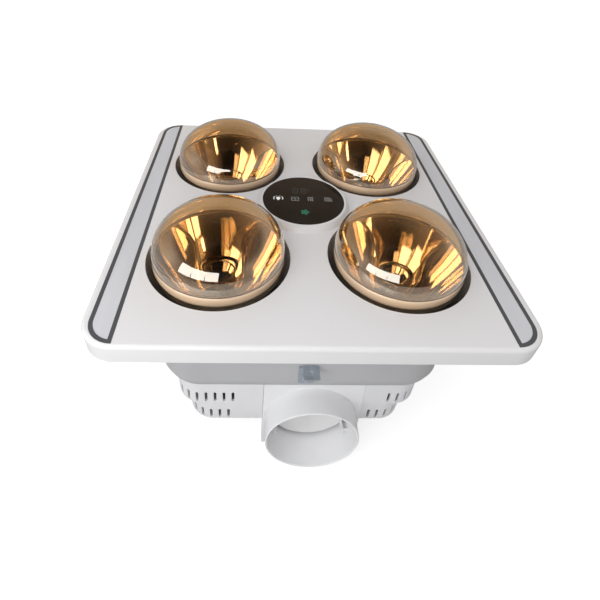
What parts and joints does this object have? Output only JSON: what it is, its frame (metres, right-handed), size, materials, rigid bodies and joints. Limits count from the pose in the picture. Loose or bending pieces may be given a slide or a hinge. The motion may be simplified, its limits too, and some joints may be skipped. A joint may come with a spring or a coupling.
{
  "type": "bathroom heat lamp",
  "caption": "Square ceiling heater with gold infrared lamps in round reflector cups, side light strips, a round display boss, and a ducted extractor fan in a vented housing.",
  "frame": {"origin": "middle of the bounding box's underside, under the centre of the square face", "axes": "+Z out of the face (up as pictured, down into the room when installed), +X to the right seen from the duct side, -Y along the duct spigot towards its mouth"},
  "size_m": [0.3794, 0.3794, 0.302],
  "materials": {
    "face_white": "satin white moulding",
    "house_white": "fine-grained white moulding",
    "lens_black": "black gloss",
    "board_green": "circuit board",
    "digit_grey": "two-digit module",
    "tray_dark": "dark grey moulding",
    "diffuser": "frosted light cover",
    "board_white": "white diode board",
    "lamp_gold": "gold-coated mirror glass",
    "cap_brass": "rolled screw cap",
    "contact_tin": "soldered foot contact",
    "filament": "stem and wires",
    "reflector": "spun bright aluminium",
    "ceramic": "glazed ceramic",
    "zinc": "zinc-plated sheet steel",
    "screw_zinc": "zinc-plated screws",
    "wheel_grey": "grey fan wheel",
    "casing_white": "white fan casing",
    "motor_steel": "plated motor can",
    "copper": "stator and coils",
    "rotor_steel": "laminated rotor",
    "shaft_steel": "ground shaft",
    "bush_bronze": "sintered bushes",
    "rubber": "rubber",
    "block": "terminal block",
    "gland": "black cable gland"
  },
  "bodies": {
    "heater": {"fascia": "face_white", "display_lens": "lens_black", "display_board": "board_green", "digit_module": "digit_grey", "holder_straps": "zinc", "ceiling_box": "house_white", "lamp_chassis": "zinc", "control_board": "board_green", "lower_housing": "house_white", "scroll_case": "casing_white", "scroll_cover": "casing_white", "motor_can": "motor_steel", "motor_stator": "copper", "motor_bushes": "bush_bronze", "motor_grommets": "rubber", "duct_adaptor": "house_white", "clamp_screws": "screw_zinc", "housing_screws": "screw_zinc", "terminal_box": "house_white", "terminal_cover": "house_white", "terminal_block": "block", "cable_gland": "gland", "led_bezel_left": "tray_dark", "led_diffuser_left": "diffuser", "led_board_left": "board_white", "led_bezel_right": "tray_dark", "led_diffuser_right": "diffuser", "led_board_right": "board_white", "reflector_cup_front_left": "reflector", "lampholder_front_left": "ceramic", "reflector_cup_front_right": "reflector", "lampholder_front_right": "ceramic", "reflector_cup_back_left": "reflector", "lampholder_back_left": "ceramic", "reflector_cup_back_right": "reflector", "lampholder_back_right": "ceramic"},
    "fan_wheel": {"impeller": "wheel_grey", "motor_shaft": "shaft_steel", "motor_rotor": "rotor_steel"},
    "flap": {"damper_flap": "casing_white"},
    "lamp_front_left_foot": {"lamp_contact_front_left": "contact_tin"},
    "lamp_front_left_bulb": {"lamp_glass_front_left": "lamp_gold", "lamp_cap_front_left": "cap_brass", "lamp_filament_front_left": "filament"},
    "lamp_front_right_foot": {"lamp_contact_front_right": "contact_tin"},
    "lamp_front_right_bulb": {"lamp_glass_front_right": "lamp_gold", "lamp_cap_front_right": "cap_brass", "lamp_filament_front_right": "filament"},
    "lamp_back_left_foot": {"lamp_contact_back_left": "contact_tin"},
    "lamp_back_left_bulb": {"lamp_glass_back_left": "lamp_gold", "lamp_cap_back_left": "cap_brass", "lamp_filament_back_left": "filament"},
    "lamp_back_right_foot": {"lamp_contact_back_right": "contact_tin"},
    "lamp_back_right_bulb": {"lamp_glass_back_right": "lamp_gold", "lamp_cap_back_right": "cap_brass", "lamp_filament_back_right": "filament"},
    "bracket_front": {"clamp_bracket_front": "zinc"},
    "bracket_back": {"clamp_bracket_back": "zinc"},
    "bracket_left": {"clamp_bracket_left": "zinc"},
    "bracket_right": {"clamp_bracket_right": "zinc"}
  },
  "joints": [
    {"name": "impeller_spin", "type": "hinge", "parent": "heater", "child": "fan_wheel", "pos_m": [-0.027, -0.005, 0.05], "axis": [0, 0, 1], "continuous": true},
    {"name": "damper_swing", "type": "hinge", "parent": "heater", "child": "flap", "pos_m": [0.014, -0.1247, 0.03], "axis": [1, 0, 0], "range_deg": [0, 75]},
    {"name": "lamp_front_left_rise", "type": "slide", "parent": "heater", "child": "lamp_front_left_foot", "axis": [0, 0, 1], "range_m": [0, 0.0146]},
    {"name": "lamp_front_left_turn", "type": "hinge", "parent": "lamp_front_left_foot", "child": "lamp_front_left_bulb", "pos_m": [-0.086, -0.086, 0.2], "axis": [0, 0, 1], "range_deg": [0, 1440]},
    {"name": "lamp_front_right_rise", "type": "slide", "parent": "heater", "child": "lamp_front_right_foot", "axis": [0, 0, 1], "range_m": [0, 0.0146]},
    {"name": "lamp_front_right_turn", "type": "hinge", "parent": "lamp_front_right_foot", "child": "lamp_front_right_bulb", "pos_m": [0.086, -0.086, 0.2], "axis": [0, 0, 1], "range_deg": [0, 1440]},
    {"name": "lamp_back_left_rise", "type": "slide", "parent": "heater", "child": "lamp_back_left_foot", "axis": [0, 0, 1], "range_m": [0, 0.0146]},
    {"name": "lamp_back_left_turn", "type": "hinge", "parent": "lamp_back_left_foot", "child": "lamp_back_left_bulb", "pos_m": [-0.086, 0.086, 0.2], "axis": [0, 0, 1], "range_deg": [0, 1440]},
    {"name": "lamp_back_right_rise", "type": "slide", "parent": "heater", "child": "lamp_back_right_foot", "axis": [0, 0, 1], "range_m": [0, 0.0146]},
    {"name": "lamp_back_right_turn", "type": "hinge", "parent": "lamp_back_right_foot", "child": "lamp_back_right_bulb", "pos_m": [0.086, 0.086, 0.2], "axis": [0, 0, 1], "range_deg": [0, 1440]},
    {"name": "bracket_front_slide", "type": "slide", "parent": "heater", "child": "bracket_front", "axis": [0, 0, 1], "range_m": [-0.006, 0.006]},
    {"name": "bracket_back_slide", "type": "slide", "parent": "heater", "child": "bracket_back", "axis": [0, 0, 1], "range_m": [-0.006, 0.006]},
    {"name": "bracket_left_slide", "type": "slide", "parent": "heater", "child": "bracket_left", "axis": [0, 0, 1], "range_m": [-0.006, 0.006]},
    {"name": "bracket_right_slide", "type": "slide", "parent": "heater", "child": "bracket_right", "axis": [0, 0, 1], "range_m": [-0.006, 0.006]}
  ],
  "couplings": [
    {"joint": "lamp_front_left_rise", "follows": "lamp_front_left_turn", "m_per_rad": 0.00057757},
    {"joint": "lamp_front_right_rise", "follows": "lamp_front_right_turn", "m_per_rad": 0.00057757},
    {"joint": "lamp_back_left_rise", "follows": "lamp_back_left_turn", "m_per_rad": 0.00057757},
    {"joint": "lamp_back_right_rise", "follows": "lamp_back_right_turn", "m_per_rad": 0.00057757}
  ]
}
